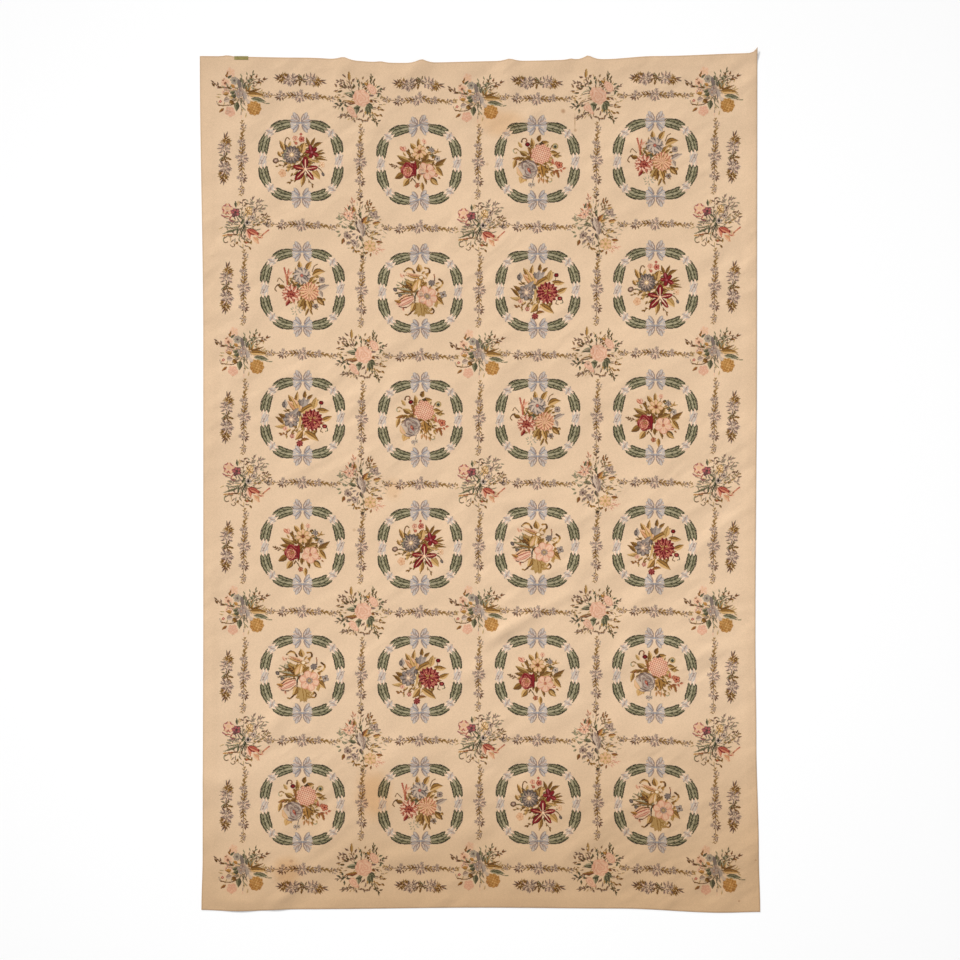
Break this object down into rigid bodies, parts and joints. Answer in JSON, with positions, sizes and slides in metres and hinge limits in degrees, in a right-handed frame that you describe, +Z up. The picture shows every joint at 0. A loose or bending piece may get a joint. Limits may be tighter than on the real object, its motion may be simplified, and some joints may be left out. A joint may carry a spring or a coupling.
{
  "type": "needlepoint rug",
  "caption": "Large flat needlepoint rug of floral bouquets in leafy wreaths on a cream ground, lying flat with soft ripples, hemmed edges and a short blank tape.",
  "frame": {"origin": "middle of the rug's bounding box, on the surface that the rug lies on", "axes": "+X across the rug, +Y along it towards the top of its design, +Z up out of the stitched face"},
  "size_m": [3.608, 5.572, 0.0168],
  "materials": {
    "wool_canvas": "matte wool tent stitch",
    "cotton_tape": "matte woven tape"
  },
  "bodies": {
    "root": {"needlepoint_rug": "wool_canvas", "edge_tape": "cotton_tape"}
  },
  "joints": []
}
